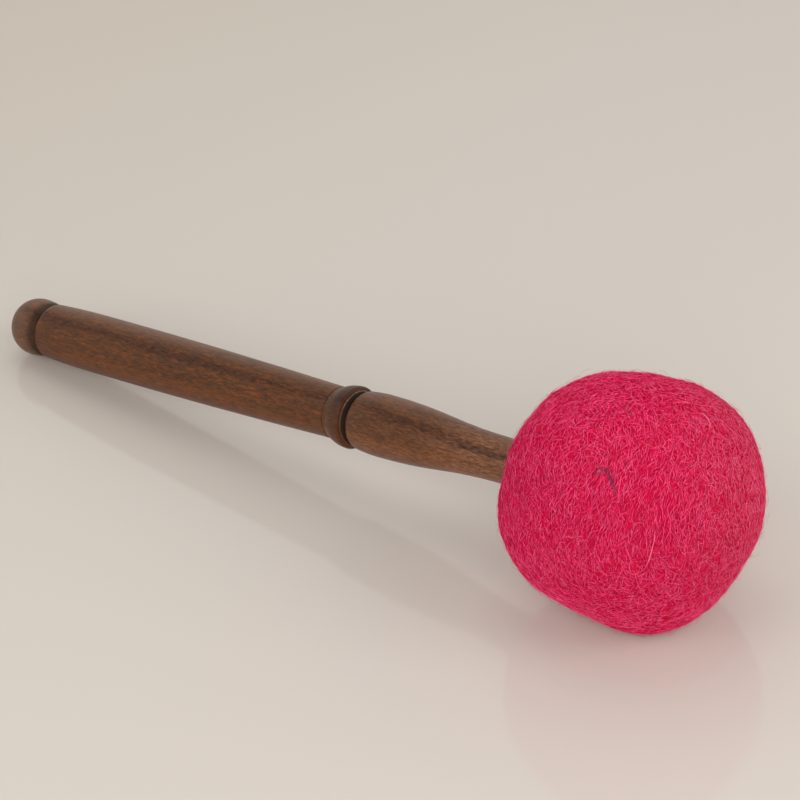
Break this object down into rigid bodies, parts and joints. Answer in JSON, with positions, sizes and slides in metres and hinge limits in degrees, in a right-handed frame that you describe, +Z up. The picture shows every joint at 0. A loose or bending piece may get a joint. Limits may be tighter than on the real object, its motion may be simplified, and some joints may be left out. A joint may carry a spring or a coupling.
{
  "type": "singing bowl mallet",
  "caption": "Mallet for a singing bowl: a round felt head over a wooden core, on a slim turned wooden handle with a ball knob, a bead and a swell.",
  "frame": {"origin": "middle of the flat that the felt head rests on, at table height", "axes": "+Z up from the table, +X from the knob towards the head, level; the handle runs towards -X and falls to its knob, which touches the table"},
  "size_m": [0.2622, 0.066, 0.0635],
  "materials": {
    "handle_wood": "satin oiled hardwood with dark streaks",
    "core_wood": "bare turned wood",
    "raw_wool": "undyed wool, matted",
    "pink_felt": "dense dyed felt with loose fibres"
  },
  "bodies": {
    "root": {"handle": "handle_wood", "head_core": "core_wood", "wool_padding": "raw_wool", "felt_cover": "pink_felt"}
  },
  "joints": []
}
